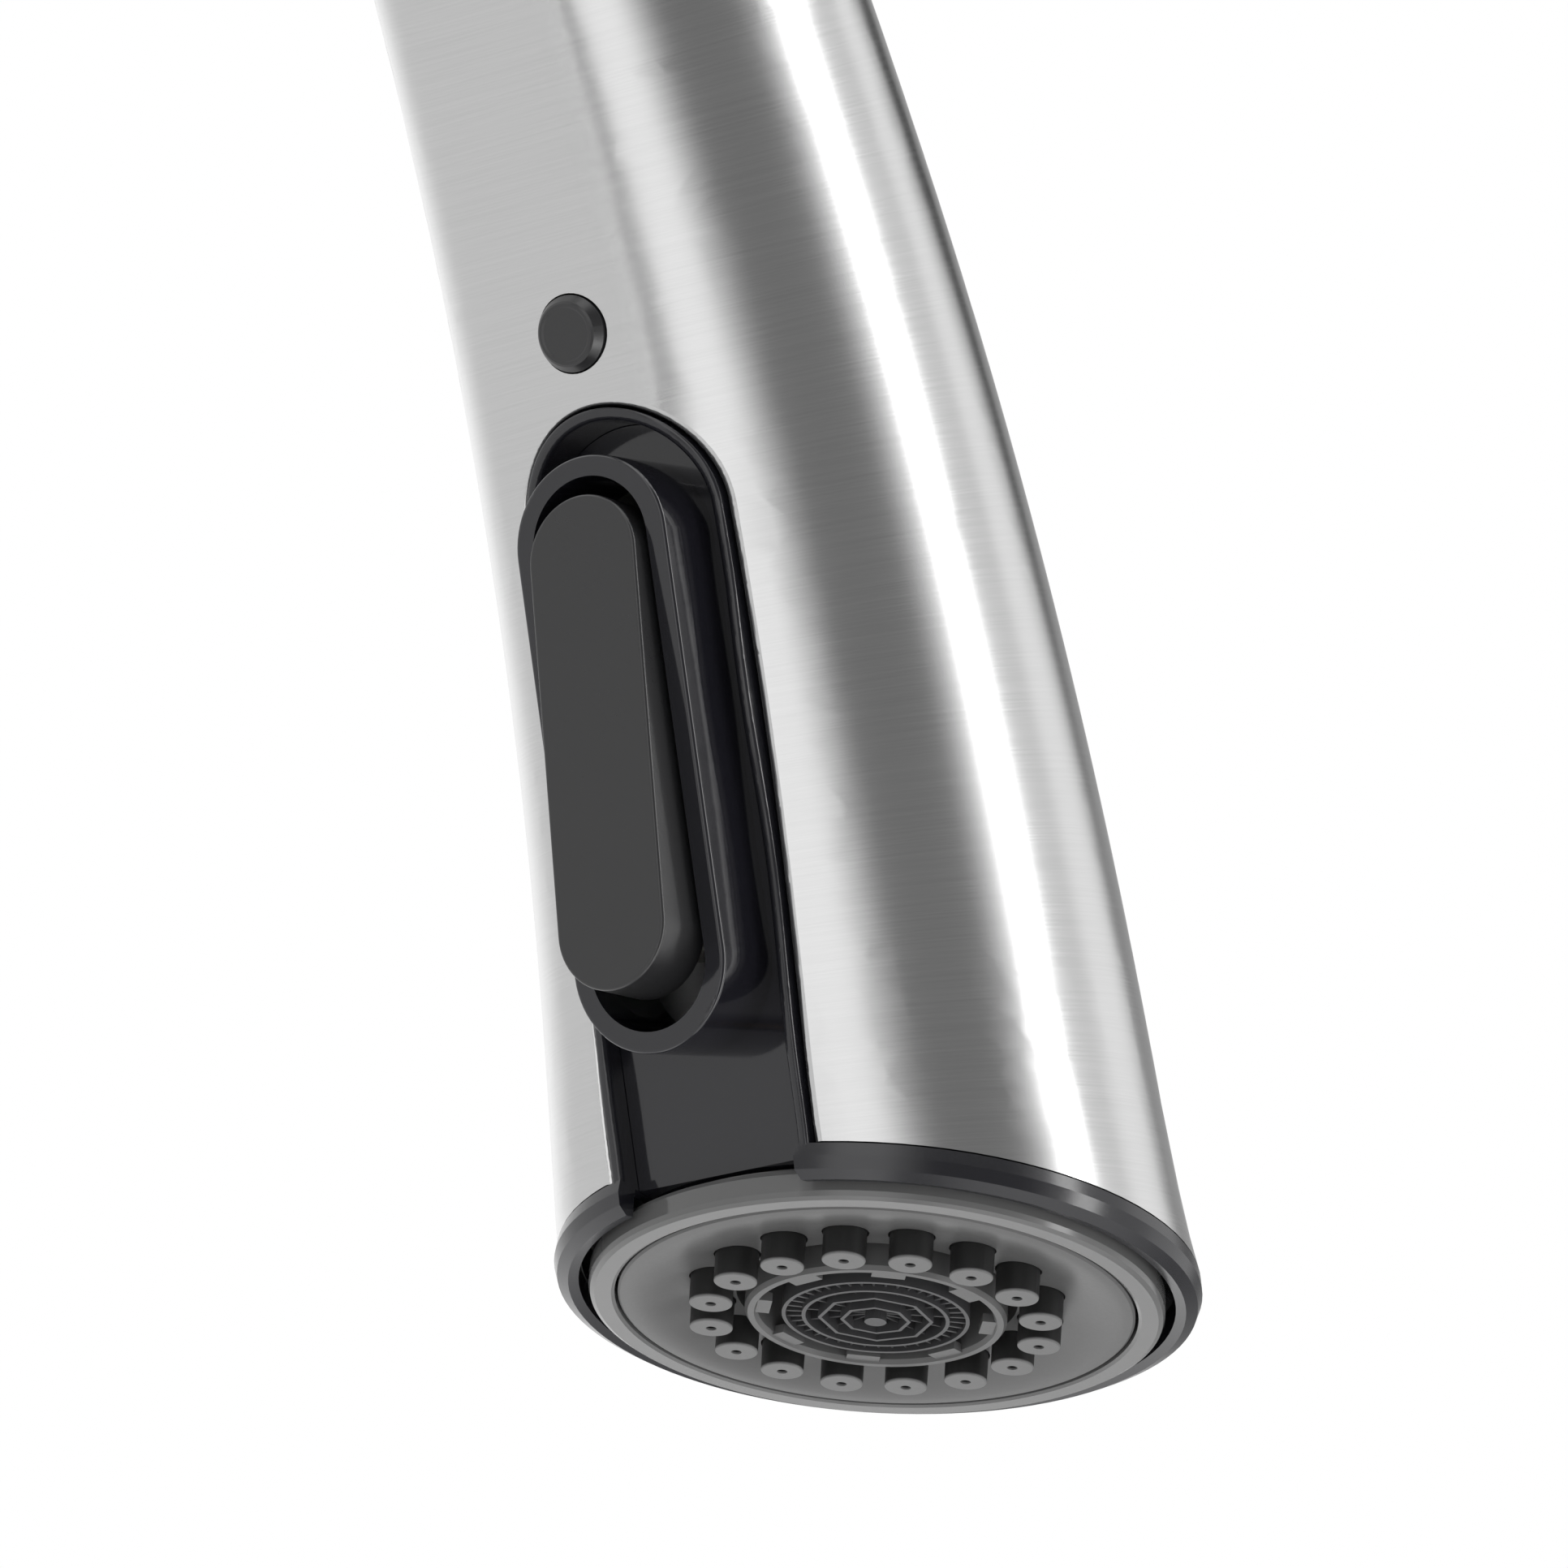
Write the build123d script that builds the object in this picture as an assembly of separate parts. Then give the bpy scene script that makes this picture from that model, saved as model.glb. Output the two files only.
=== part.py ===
"""Pull-down kitchen faucet: swivelling gooseneck, docked spray head and side lever on one deck body.

Frame: millimetres, +Z up, origin at the centre of the base on the deck. The spout reaches towards -Y,
the lever is on +X, and the spray head's buttons look back at the body.
"""

import os
from math import cos, degrees, exp, radians, sin

from build123d import *

# ---- driving dimensions ---------------------------------------------------------------------------
OVERALL_HEIGHT = 406.0
TUBE_R = 15.9
TUBE_WALL = 1.2
GOOSENECK_R = 80.0
DOCK_STRAIGHT = 30.0
TUBE_FOOT_Z = 112.0

# spray head, measured from the middle of the nozzle tips
RIM_R = 25.0
RIM_Z = 4.8
HEAD_LENGTH = 150.0
HEAD_BEND_R = 254.0
HEAD_START_TILT = 15.31
HEAD_TAPER = 0.06
HEAD_TAPER_CURVE = 1.4e-5
RIM_FLARE = 0.44
HEAD_LEAN = 1.25
LEAN_BLEND = 6.0
SQUARE_BLEND = 35.0
SHELL_WALL = 0.9

# button panel on the head's inner curve
PANEL_TILT = 20.6
PANEL_Y = 38.9
PANEL_Z = 32.4
SLOT_HALF = 9.1
SLOT_TOP = 27.0
TRIM_WIDTH = 0.95
TRIM_PROUD = 0.15
TRIM_GAP = 0.15
TRIM_DEPTH = 4.4
SLOT_ROLL = 0.6
BEZEL_OUTER_ROLL = 0.25
BEZEL_INNER_ROLL = 0.5
PANEL_FOOT_Z = 4.6
SLOT_REACH_Z = 100.0
PANEL_Q = -6.8
PANEL_WALL = 1.8
COLLAR_HALF = 6.85
COLLAR_HALF_LENGTH = 23.05
COLLAR_WALL = 1.65
ROCKER_HALF = 4.85
ROCKER_HALF_LENGTH = 19.25
ROCKER_TOP = 7.5
ROCKER_PIVOT_Q = -4.5
PIN_R = 1.2
PIN_HALF = 6.1
PIN_FIT = 0.05
ROCKER_TILT = 6.0
SPOOL_Q = -12.0
PAUSE_Y = 49.1
PAUSE_Z = 63.55
PAUSE_TILT = 29.2
PAUSE_R = 2.97
PAUSE_FACE_R = 2.4
PAUSE_HOLE_R = 3.1
PAUSE_PROUD = 0.87
COIL_LOW = -8.85
COIL_PITCH = 0.88

# spray face
NOZZLE_COUNT = 16
NOZZLE_CIRCLE_R = 13.0
NOZZLE_R = 1.7
NOZZLE_HOLE_R = 0.42
FACE_Z = 1.4
DISH_Z = 2.4
PLATE_INNER_R = 10.95
FACE_RING_R = 22.4
FLANGE_R = 20.9
FLANGE_CLEAR_R = 21.2
PLATE_R = 20.1
BUMPER_R = 25.2
BUMPER_BORE = 23.2
AERATOR_R = 10.2
SCREEN_R = 7.3
TAB_Z = 0.7
TAB_TURN = 39.7
FACET_TURN = 32.0

# hose and docking
HOSE_R = 5.5
HOSE_FOOT_Z = -62.0
PLUG_R = 5.0
DOCK_CONE_R = 11.9

# body, valve and lever
BODY_FOOT_R = 26.0
BODY_R = 24.0
BODY_TOP_R = 20.5
BODY_TOP_Z = 120.0
BODY_WALL = 1.6
VALVE_Z = 70.0
PIVOT_X = 34.0
BRANCH_R = 19.5
DOME_R = 18.0
DOME_MOUTH_R = 10.9
HUB_CAVITY_R = 18.5
HUB_R = 20.3
LEVER_LENGTH = 92.0
LEVER_LEAN = 8.0

# deck fixing
SHANK_R = 16.4
SHANK_BORE = 14.8
SHANK_BOTTOM = -62.0
DECK_GRIP = 29.0
STUB_OFFSET = 10.6
STUB_R = 4.0
STUB_END_R = 4.76
STUB_BOTTOM = -92.0
STOP_ARC = 134.0

LOW = (Align.CENTER, Align.CENTER, Align.MIN)


# ---- shared helpers -------------------------------------------------------------------------------
def rod(radius, low, high):
    """Solid cylinder on the Z axis between two heights."""
    return Pos(0, 0, low) * Cylinder(radius, high - low, align=LOW)


def tube(outer, inner, low, high):
    """Hollow cylinder on the Z axis between two heights."""
    return rod(outer, low, high) - rod(inner, low, high)


def turned(points):
    """Solid turned about the Z axis from (radius, height) points."""
    outline = Polyline(*points, close=True)
    return revolve(Plane.XZ * make_face(outline), Axis.Z)


def racetrack(half_width, half_length, low, high):
    """Stadium-shaped block with its long side on Y."""
    straight = 2 * (half_length - half_width)
    block = Box(2 * half_width, straight, high - low, align=LOW)
    for end in (-1, 1):
        block += Pos(0, end * straight / 2, 0) * Cylinder(half_width, high - low, align=LOW)
    return Pos(0, 0, low) * block


def ring_of(shape, count, first=0.0):
    """Copies of one shape, evenly spaced about the Z axis."""
    return [Rot(0, 0, first + 360.0 * k / count) * shape for k in range(count)]


def station(s):
    """Centre (y, z), radius and tilt in degrees of the spray head's section at length s."""
    tilt0 = radians(HEAD_START_TILT)
    if s <= 0:
        return 0.0, RIM_Z + s, RIM_R, 0.0
    if s > HEAD_LENGTH:
        y, z, r, tilt = station(HEAD_LENGTH)
        beyond = s - HEAD_LENGTH
        return y + beyond * sin(radians(tilt)), z + beyond * cos(radians(tilt)), r, tilt
    bend = tilt0 + s / HEAD_BEND_R
    settle = exp(-s / LEAN_BLEND)
    y = HEAD_LEAN * (1 - settle) + HEAD_BEND_R * (cos(tilt0) - cos(bend))
    z = RIM_Z + HEAD_BEND_R * (sin(bend) - sin(tilt0))
    r = RIM_R - RIM_FLARE * (1 - settle) - HEAD_TAPER * s + HEAD_TAPER_CURVE * s * s
    return y, z, r, degrees(bend) * (1 - exp(-s / SQUARE_BLEND))


def head_plane(s):
    y, z, _, tilt = station(s)
    return Plane(origin=(0, y, z), x_dir=(1, 0, 0), z_dir=(0, sin(radians(tilt)), cos(radians(tilt))))


def head_form(grow, lengths):
    """Curved, tapering body of the spray head, grown by a wall thickness."""
    return loft([head_plane(s) * Circle(station(s)[2] + grow) for s in lengths])


def panel_plane():
    tilt = radians(PANEL_TILT)
    return Plane(origin=(0, PANEL_Y, PANEL_Z), x_dir=(-1, 0, 0), z_dir=(0, cos(tilt), -sin(tilt)))


def pause_plane():
    tilt = radians(PAUSE_TILT)
    return Plane(origin=(0, PAUSE_Y, PAUSE_Z), x_dir=(-1, 0, 0), z_dir=(0, cos(tilt), -sin(tilt)))


def slot_block(inset, low=-14.0, high=12.0, bottom=-60.0):
    """Round-topped block that fills the shell's slot, pulled in by a margin."""
    half = SLOT_HALF - inset
    top = SLOT_TOP - SLOT_HALF
    block = Pos(0, (top + bottom) / 2, low) * Box(2 * half, top - bottom, high - low, align=LOW)
    block += Pos(0, top, low) * Cylinder(half, high - low, align=LOW)
    return panel_plane() * block


SEAM_Y, SEAM_Z, SEAM_R, DOCK_TILT = station(HEAD_LENGTH)
REACH = SEAM_Y + DOCK_STRAIGHT * sin(radians(DOCK_TILT)) + GOOSENECK_R * (1 + cos(radians(DOCK_TILT)))
ARC_Z = OVERALL_HEIGHT - GOOSENECK_R - TUBE_R
TIP_Z = ARC_Z + GOOSENECK_R * sin(radians(DOCK_TILT)) - DOCK_STRAIGHT * cos(radians(DOCK_TILT)) - SEAM_Z
HEAD_PLACE = Pos(0, -REACH, TIP_Z)
OUTER_STATIONS = (0, 7, 15, 30, 50, 72, 96, 122, HEAD_LENGTH)
CAVITY_STATIONS = (-8, 0, 7, 15, 30, 50, 72, 96, 122, HEAD_LENGTH, HEAD_LENGTH + 6)


def dock_plane():
    """Plane at the seam between head and spout, with +Z up into the spout."""
    tilt = radians(DOCK_TILT)
    return Plane(origin=(0, SEAM_Y, SEAM_Z), x_dir=(1, 0, 0), z_dir=(0, sin(tilt), cos(tilt)))


# ---- spray head -----------------------------------------------------------------------------------
def slot_edges(form):
    """Edges where the slot, or the plug that fills it, meets the head's curved skin."""
    curved = [face for face in form.faces() if face.geom_type == GeomType.BSPLINE]
    skin = max(curved, key=lambda face: face.area)
    return [edge for edge in skin.edges() if abs(edge.center().X) < SLOT_HALF + 1 and edge.center().Y > 0
            and 0 < edge.center().Z < SLOT_REACH_Z]


def head_shell():
    """Thin steel shell whose slot edge is rolled inwards."""
    form = head_form(0, OUTER_STATIONS) - slot_block(0)
    form = fillet(slot_edges(form), SLOT_ROLL)
    shell = form - head_form(-SHELL_WALL, CAVITY_STATIONS)
    return shell - pause_plane() * rod(PAUSE_HOLE_R, -4, 4)


def head_trim():
    """Black trim: a bezel round the slot that turns into the bumper band under the shell."""
    bezel = head_form(TRIM_PROUD, CAVITY_STATIONS) & slot_block(TRIM_GAP)
    bezel = fillet(slot_edges(bezel), BEZEL_OUTER_ROLL)
    bezel -= slot_block(TRIM_GAP + TRIM_WIDTH)
    mouth = SLOT_HALF - TRIM_GAP - TRIM_WIDTH
    inner_edges = [edge for edge in slot_edges(bezel) if edge.bounding_box().max.X < mouth + 0.05
                   and edge.bounding_box().min.X > -mouth - 0.05]
    bezel = fillet(inner_edges, BEZEL_INNER_ROLL)
    bezel -= head_form(-TRIM_DEPTH, CAVITY_STATIONS)
    bezel -= rod(40, -20, 2.6)
    bezel -= rod(BUMPER_BORE, 0, PANEL_FOOT_Z)
    band = turned([
        (BUMPER_BORE, 2.3), (24.0, 2.1), (24.9, 2.6), (BUMPER_R, 3.6), (25.05, RIM_Z - TRIM_GAP),
        (BUMPER_BORE, RIM_Z - TRIM_GAP),
    ])
    lip = head_form(-SHELL_WALL - 0.1, CAVITY_STATIONS) - head_form(-SHELL_WALL - 0.9, CAVITY_STATIONS)
    lip &= rod(40, RIM_Z - TRIM_GAP - 0.5, RIM_Z + 2.4)
    band = band + lip - Pos(0, 24, 0) * Box(2 * mouth, 20, 20)
    return bezel + band


def button_panel():
    """Glossy panel inside the bezel with the raised collar that frames the rocker."""
    panel = slot_block(TRIM_GAP + TRIM_WIDTH + 0.05, PANEL_Q - PANEL_WALL, PANEL_Q)
    panel -= rod(40, -60, PANEL_FOOT_Z)
    collar = racetrack(COLLAR_HALF, COLLAR_HALF_LENGTH, PANEL_Q - PANEL_WALL, 0.0)
    collar = fillet(collar.faces().sort_by(Axis.Z)[-1].edges(), 0.35)
    well = racetrack(COLLAR_HALF - COLLAR_WALL, COLLAR_HALF_LENGTH - COLLAR_WALL, -20.0, 1.0)
    pin_hole = Pos(0, 0, ROCKER_PIVOT_Q) * Rot(0, 90, 0) * Cylinder(PIN_R + PIN_FIT, 2 * PIN_HALF + 0.2)
    return panel + panel_plane() * collar - panel_plane() * (well + pin_hole)


def rocker_pose(shape):
    """Tilts a rocker piece about its pin to the spray position and puts it on the panel."""
    pivot = Pos(0, 0, ROCKER_PIVOT_Q) * Rot(-ROCKER_TILT, 0, 0)
    return panel_plane() * (pivot * shape)


def rocker_button():
    cap = racetrack(ROCKER_HALF, ROCKER_HALF_LENGTH, 2.0, ROCKER_TOP)
    cap = fillet(cap.faces().sort_by(Axis.Z)[-1].edges(), 0.3)
    cap -= racetrack(ROCKER_HALF - 1.3, ROCKER_HALF_LENGTH - 1.3, 1.0, ROCKER_TOP - 1.6)
    web = Box(7.0, 5.6, 9.0, align=LOW)
    cap += Pos(0, 0, -2.6) * web
    arm = Pos(0, 0, -5.2) * Box(4.0, 1.8, 3.2, align=LOW)
    for side in (-1, 1):
        arm += Pos(1.65 * side, 0, SPOOL_Q - ROCKER_PIVOT_Q - 0.8) * Box(0.7, 1.8, 3.4, align=LOW)
    pin_hole = Rot(0, 90, 0) * Cylinder(PIN_R + PIN_FIT, 30)
    return rocker_pose(cap + arm - pin_hole)


def rocker_pin():
    pin = Pos(0, 0, ROCKER_PIVOT_Q) * Rot(0, 90, 0) * Cylinder(PIN_R, 2 * PIN_HALF)
    return panel_plane() * pin


def spool_axis():
    """Frame of the diverter: origin under the rocker's pin, +Z up along the panel."""
    return panel_plane() * Pos(0, 0, SPOOL_Q) * Rot(-90, 0, 0)


def diverter_spool():
    rest = (SPOOL_Q - ROCKER_PIVOT_Q) * sin(radians(ROCKER_TILT))
    spool = rod(2.2, -11, 11) - tube(3, 1.1, -1.3, 1.3)
    for height in (-8.5, 8.5):
        spool -= tube(3, 1.65, height - 0.65, height + 0.65)
    return spool_axis() * Pos(0, 0, rest) * spool


def spool_orings():
    rest = (SPOOL_Q - ROCKER_PIVOT_Q) * sin(radians(ROCKER_TILT))
    rings = [Pos(0, 0, rest + height) * Torus(2.0, 0.32) for height in (-8.5, 8.5)]
    return spool_axis() * Compound(children=rings)


def diverter_barrel():
    barrel = tube(4.2, 2.35, -15, 15) + rod(4.2, 13.5, 15) + rod(4.2, -15, -13.5)
    return spool_axis() * (barrel - Pos(0, -4.4, 0) * Box(4.8, 12, 5.2))


def pause_button():
    button = turned([
        (0, -3.2), (PAUSE_R, -3.2), (PAUSE_R, 0.05), (PAUSE_FACE_R + 0.12, PAUSE_PROUD - 0.12),
        (PAUSE_FACE_R - 0.05, PAUSE_PROUD), (PAUSE_FACE_R - 0.25, PAUSE_PROUD),
        (PAUSE_FACE_R - 0.4, PAUSE_PROUD - 0.08),
        (0, PAUSE_PROUD - 0.08),
    ])
    return pause_plane() * (button + rod(3.5, -4.0, -3.2) + rod(1.1, -6.6, -4.0))


def pause_guide():
    guide = tube(4.6, 3.65, -9.4, -2.0) + tube(4.6, 1.4, -10.6, -9.4)
    return pause_plane() * guide


def pause_spring():
    coil = [Pos(0, 0, COIL_LOW + COIL_PITCH * k) * Torus(2.4, 0.3) for k in range(6)]
    link = [Pos(2.4, 0, COIL_LOW + COIL_PITCH * k) * rod(0.28, 0, COIL_PITCH) for k in range(5)]
    return pause_plane() * Compound(children=[coil[0].fuse(*coil[1:], *link)])


def waterway_core():
    """Moulded waterway: a chamber over the spray face and the curved pipe up to the hose."""
    chamber = turned([
        (0, 14.6), (6.0, 14.6), (18.2, 12.6), (18.8, 11.4), (18.8, 6.8), (17.2, 6.8), (17.2, 10.6), (0, 12.4),
    ])
    low_y, low_z, _, _ = station(9)
    mid_y, mid_z, _, _ = station(66)
    top = dock_plane().from_local_coords(Vector(0, 0, -43.2))
    path = ThreePointArc((0, low_y, low_z), (0, mid_y, mid_z), top)
    start = Plane(origin=path @ 0, x_dir=(1, 0, 0), z_dir=path % 0)
    pipe = sweep(start * Circle(6.2), path=path)
    bore = sweep(start * Circle(4.4), path=path)
    return (chamber + pipe) - bore


def inlet_socket():
    """Socket on top of the waterway that takes the hose's swivel end."""
    return dock_plane() * (tube(9.6, 6.3, -31.0, -16.5) + tube(6.6, 4.6, -40.8, -31.0))


def check_valve():
    return dock_plane() * (tube(4.5, 2.6, -40.6, -32.0) + rod(3.0, -36.5, -35.5))


def filter_washer():
    return dock_plane() * (tube(6.2, 3.4, -30.9, -29.4) + rod(3.4, -30.4, -29.9))


def neck_bush():
    """Plastic bush in the head's top whose cone docks into the spout."""
    bush = turned([
        (9.9, -16.0), (12.6, -16.0), (SEAM_R - SHELL_WALL - 0.25, -13.0),
        (SEAM_R - SHELL_WALL - 0.25, -0.4), (DOCK_CONE_R, -0.4), (DOCK_CONE_R - 0.7, 13.0), (9.9, 15.0),
    ])
    return dock_plane() * bush


def dock_plate():
    return dock_plane() * tube(9.75, 7.6, 13.2, 14.8)


def hose_nut():
    nut = turned([(5.6, -15.5), (8.6, -15.5), (8.6, -5.0), (7.4, -2.0), (6.2, 8.0), (5.6, 8.0)])
    flats = [Rot(0, 0, 60 * k) * Pos(12.1, 0, -12) * Box(8, 20, 7.2) for k in range(6)]
    for flat in flats:
        nut -= flat
    return dock_plane() * nut


def hose_nipple():
    nipple = tube(5.3, 3.2, -29.2, -9.0)
    for low in (-28.0, -24.5):
        nipple -= tube(8, 4.5, low, low + 1.9)
    return dock_plane() * nipple


def nipple_orings():
    rings = [Pos(0, 0, low + 0.95) * Torus(5.35, 0.82) for low in (-28.0, -24.5)]
    return dock_plane() * Compound(children=rings)


# ---- spray face -----------------------------------------------------------------------------------
def face_ring():
    ring = turned([
        (20.35, 1.45), (20.6, 1.3), (21.9, 1.3), (22.25, 1.5), (FACE_RING_R, 1.9), (FACE_RING_R, 3.3),
        (22.2, 3.7), (FLANGE_R, 4.0), (FLANGE_R, 8.4), (PLATE_R + 0.25, 8.4),
    ])
    relief = Pos(0, 25, 4.4) * Box(2 * (SLOT_HALF + 0.3), 20, 10, align=LOW)
    return ring - relief


def face_plate():
    """Grey plate that dishes down to a trough where the nozzles come through."""
    dish = [(PLATE_INNER_R, DISH_Z), (13.0, DISH_Z), (15.4, DISH_Z - 0.28), (17.8, FACE_Z + 0.12)]
    dish.append((PLATE_R - 0.2, FACE_Z))
    outline = Spline(*dish) + Polyline(
        dish[-1], (PLATE_R, FACE_Z + 0.15), (PLATE_R, 3.6), (16.4, 4.0), (PLATE_INNER_R, 4.0), dish[0])
    plate = revolve(Plane.XZ * make_face(outline), Axis.Z)
    hole = Pos(NOZZLE_CIRCLE_R, 0, 0) * rod(NOZZLE_R + 0.12, 0, 8)
    for cut in ring_of(hole, NOZZLE_COUNT):
        plate -= cut
    return plate


def nozzle_mat():
    """Rubber mat whose soft nozzles can be rubbed clean."""
    mat = tube(16.2, AERATOR_R + 0.3, 4.1, 5.2)
    nozzle = Cone(NOZZLE_R - 0.02, NOZZLE_R + 0.04, 4.6, align=LOW)
    nozzle = fillet(nozzle.faces().sort_by(Axis.Z)[0].edges(), 0.12)
    for one in ring_of(Pos(NOZZLE_CIRCLE_R, 0, 0) * nozzle, NOZZLE_COUNT):
        mat += one
    for jet in ring_of(Pos(NOZZLE_CIRCLE_R, 0, 0) * rod(NOZZLE_HOLE_R, -1, 6), NOZZLE_COUNT):
        mat -= jet
    return mat


def face_seal():
    return tube(17.0, AERATOR_R + 0.4, 5.3, 6.6)


def aerator_housing():
    housing = turned([
        (9.2, 0.9), (9.45, 0.55), (9.95, 0.55), (AERATOR_R, 0.9), (AERATOR_R, 8.6), (9.2, 8.6),
    ])
    tab = Pos(8.75, 0, TAB_Z) * Box(1.1, 2.6, 0.7, align=LOW)
    for one in ring_of(tab, 8, TAB_TURN):
        housing += one
    return housing


def aerator_insert():
    """Flow former inside the housing: rings and facets over a dark base."""
    insert = rod(SCREEN_R, 2.0, 7.6)
    for radius, low in ((SCREEN_R, 0.65), (5.75, 0.58)):
        insert += tube(radius, radius - 0.3, low, 2.1)
    for radius, low in ((4.5, 0.5), (2.75, 0.42)):
        facet = RegularPolygon(radius, 8, rotation=FACET_TURN)
        facet -= RegularPolygon(radius - 0.3, 8, rotation=FACET_TURN)
        insert += Pos(0, 0, low) * extrude(facet, amount=2.1 - low)
    insert += rod(0.85, 0.3, 2.1)
    return insert


# ---- gooseneck ------------------------------------------------------------------------------------
def spout_route(below, above=0.0):
    """Centre line from the seam over the arch and down to a height on the body's axis."""
    tilt = radians(DOCK_TILT)
    seam = Vector(0, SEAM_Y - REACH, SEAM_Z + TIP_Z)
    along = Vector(0, sin(tilt), cos(tilt))
    bend = seam + along * DOCK_STRAIGHT
    middle = radians(180 + DOCK_TILT) / 2
    crown = (0, -GOOSENECK_R - GOOSENECK_R * cos(middle), ARC_Z + GOOSENECK_R * sin(middle))
    start = seam + along * above
    return (Line(start, bend) + ThreePointArc(bend, crown, (0, 0, ARC_Z))
            + Line((0, 0, ARC_Z), (0, 0, below))), start, along


def swept(profile, below, above=0.0):
    route, start, along = spout_route(below, above)
    return sweep(Plane(origin=start, x_dir=(1, 0, 0), z_dir=along) * profile, path=route)


def spout_tube():
    return swept(Circle(TUBE_R) - Circle(TUBE_R - TUBE_WALL), TUBE_FOOT_Z, 0.3)


def pull_hose():
    """Hose at rest: from its end in the head, through the spout, to its plug under the shank."""
    return swept(Circle(HOSE_R) - Circle(HOSE_R - 2.0), HOSE_FOOT_Z, -8.9)


def hose_plug():
    plug = tube(PLUG_R, 3.2, STUB_BOTTOM + 4, HOSE_FOOT_Z - 0.1)
    plug -= tube(9, PLUG_R - 0.8, STUB_BOTTOM + 7, STUB_BOTTOM + 9)
    return plug


def dock_sleeve():
    sleeve = turned([
        (12.35, 0.6), (TUBE_R - TUBE_WALL - 0.05, 0.6), (TUBE_R - TUBE_WALL - 0.05, 24.0), (12.0, 24.0),
        (12.0, 15.6), (11.75, 15.6),
    ])
    return HEAD_PLACE * (dock_plane() * sleeve)


def dock_magnet():
    return HEAD_PLACE * (dock_plane() * tube(11.95, 7.2, 15.7, 20.7))


def spout_collar():
    return turned([
        (TUBE_R + 0.05, BODY_TOP_Z + 0.4), (19.6, BODY_TOP_Z + 0.4), (20.0, BODY_TOP_Z + 0.9),
        (19.4, BODY_TOP_Z + 4.2), (18.2, BODY_TOP_Z + 5.2), (TUBE_R + 0.05, BODY_TOP_Z + 5.2),
    ])


def spout_foot():
    """Brass sleeve pressed into the tube that turns on the body's post."""
    foot = tube(TUBE_R - TUBE_WALL - 0.05, 11.5, 92.2, 138.0)
    return foot - Pos(0, 0, 104) * Rot(90, 0, 0) * Pos(0, 0, -15) * Cylinder(1.25, 30)


def swivel_stop():
    return Pos(0, 12.45, 104) * Rot(90, 0, 0) * Cylinder(1.2, 4.2)


# ---- body, valve and lever ------------------------------------------------------------------------
def on_valve(shape):
    """Turns a piece made on the Z axis so that it lies on the valve's axis, +Z becoming +X."""
    return Pos(0, 0, VALVE_Z) * Rot(0, 90, 0) * shape


def body_shell():
    outside = [(BODY_FOOT_R, 6.1), (25.1, 16.0), (24.5, 32.0), (BODY_R, 60.0), (23.6, 88.0),
               (22.4, 104.0), (BODY_TOP_R + 0.3, BODY_TOP_Z - 0.6), (BODY_TOP_R - 0.4, BODY_TOP_Z)]
    outline = Spline(*outside[:-1]) + Polyline(
        outside[-2], outside[-1], (TUBE_R + 0.3, BODY_TOP_Z), (TUBE_R + 0.3, 118.8), (18.3, 118.8),
        (18.3, 108.0), (21.0, 94.0), (22.2, 60.0), (BODY_FOOT_R - BODY_WALL - 1.2, 6.1), outside[0])
    shell = revolve(Plane.XZ * make_face(outline), Axis.Z)
    branch = on_valve(rod(BRANCH_R, 12, 32))
    hollow = on_valve(rod(DOME_R + 0.02, 10, 40))
    inside = rod(21.0, 10, 96)
    return shell + (branch - inside) - hollow


def valve_body():
    """Brass body: hose bore, post for the spout, side socket for the cartridge and pipe sockets."""
    brass = rod(17.6, 12.1, 90) + rod(11.4, 90, 116) + on_valve(rod(17.8, 6, 31))
    brass -= rod(7.4, 0, 130)
    brass -= on_valve(rod(14.55, 13, 60))
    for x, y in ((0, STUB_OFFSET), (0, -STUB_OFFSET), (-STUB_OFFSET, 0)):
        brass -= Pos(x, y, 0) * rod(STUB_R + 0.05, 0, 32)
    for height in (95.0, 110.0):
        brass -= tube(20, 10.0, height - 1.0, height + 1.0)
    sector = Cylinder(20, 2.8, arc_size=STOP_ARC, align=(Align.NONE, Align.NONE, Align.MIN))
    stop_slot = Pos(0, 0, 102.6) * (sector - Cylinder(10.1, 2.8, align=LOW))
    return brass - Rot(0, 0, 90 - STOP_ARC / 2) * stop_slot


def post_orings():
    return Compound(children=[Pos(0, 0, height) * Torus(10.75, 0.7) for height in (95.0, 110.0)])


def cartridge():
    body = rod(14.5, 14.1, 30) + rod(11, 30, 33)
    body -= rod(9.0, 24, 34)
    return on_valve(body - Pos(0, 0, 20) * Box(7, 7, 9))


def valve_dome():
    dome = Pos(0, 0, PIVOT_X) * (Sphere(DOME_R) - Sphere(DOME_R - 1.4))
    dome &= rod(40, PIVOT_X, 80)
    dome += tube(DOME_R - 0.05, DOME_R - 1.4, 31.2, PIVOT_X)
    return on_valve(dome - rod(DOME_MOUTH_R, PIVOT_X, 80))


def cartridge_carrier():
    carrier = rod(8.9, 24.2, 32.6) + (rod(6.2, 32.6, PIVOT_X + 2.2))
    carrier -= Pos(0, 0, 27) * Box(15, 6.5, 20, align=LOW)
    return on_valve(carrier) - Pos(PIVOT_X, 0, VALVE_Z) * Rot(90, 0, 0) * Cylinder(1.25, 30)


def lift_pin():
    return Pos(PIVOT_X, 0, VALVE_Z) * Rot(90, 0, 0) * Cylinder(1.2, 10.6)


def cartridge_stem():
    stem = Pos(0, 0, 28) * Box(6.4, 6.0, 30, align=LOW)
    return on_valve(stem) - Pos(PIVOT_X, 0, VALVE_Z) * Rot(90, 0, 0) * Cylinder(1.25, 30)


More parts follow.
